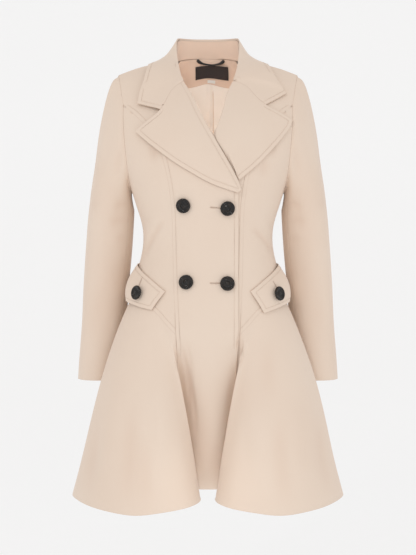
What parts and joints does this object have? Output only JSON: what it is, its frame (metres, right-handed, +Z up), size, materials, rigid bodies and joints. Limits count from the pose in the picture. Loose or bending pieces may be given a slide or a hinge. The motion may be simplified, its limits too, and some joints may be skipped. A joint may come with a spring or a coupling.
{
  "type": "skater coat",
  "caption": "Fitted double-breasted coat with notch lapels, flap pockets and a flared skirt, filled out as worn.",
  "frame": {"origin": "between the shoulder seams, at the height where the collar meets them, where the wearer carries the coat", "axes": "+Z up, front towards -Y, +X towards the wearer's left"},
  "size_m": [0.5176, 0.3599, 0.9069],
  "materials": {
    "cloth": "beige coat cloth, matt, fine twill",
    "facing": "beige coat cloth seen inside the neck",
    "lining": "beige satin lining",
    "button": "polished black",
    "label": "woven dark brown ribbon, bare",
    "tag": "white woven ribbon, bare",
    "cord": "black twisted cord"
  },
  "bodies": {
    "root": {"front_right": "cloth", "front_left": "cloth", "side_front_left": "cloth", "side_front_right": "cloth", "flare_front_left": "cloth", "flare_front_right": "cloth", "back_left": "cloth", "back_right": "cloth", "side_back_left": "cloth", "side_back_right": "cloth", "flare_back_left": "cloth", "flare_back_right": "cloth", "top_sleeve_left": "cloth", "top_sleeve_right": "cloth", "under_sleeve_left": "cloth", "under_sleeve_right": "cloth", "lapel_left": "cloth", "lapel_right": "cloth", "pocket_flap_left": "cloth", "pocket_flap_right": "cloth", "collar_fall": "cloth", "collar_stand": "facing", "neck_facing": "facing", "back_lining": "lining", "neck_label": "label", "size_tag": "tag", "hanger_loop": "cord", "button_upper_right": "button", "button_upper_left": "button", "button_lower_right": "button", "button_lower_left": "button", "button_flap_left": "button", "button_flap_right": "button"}
  },
  "joints": []
}
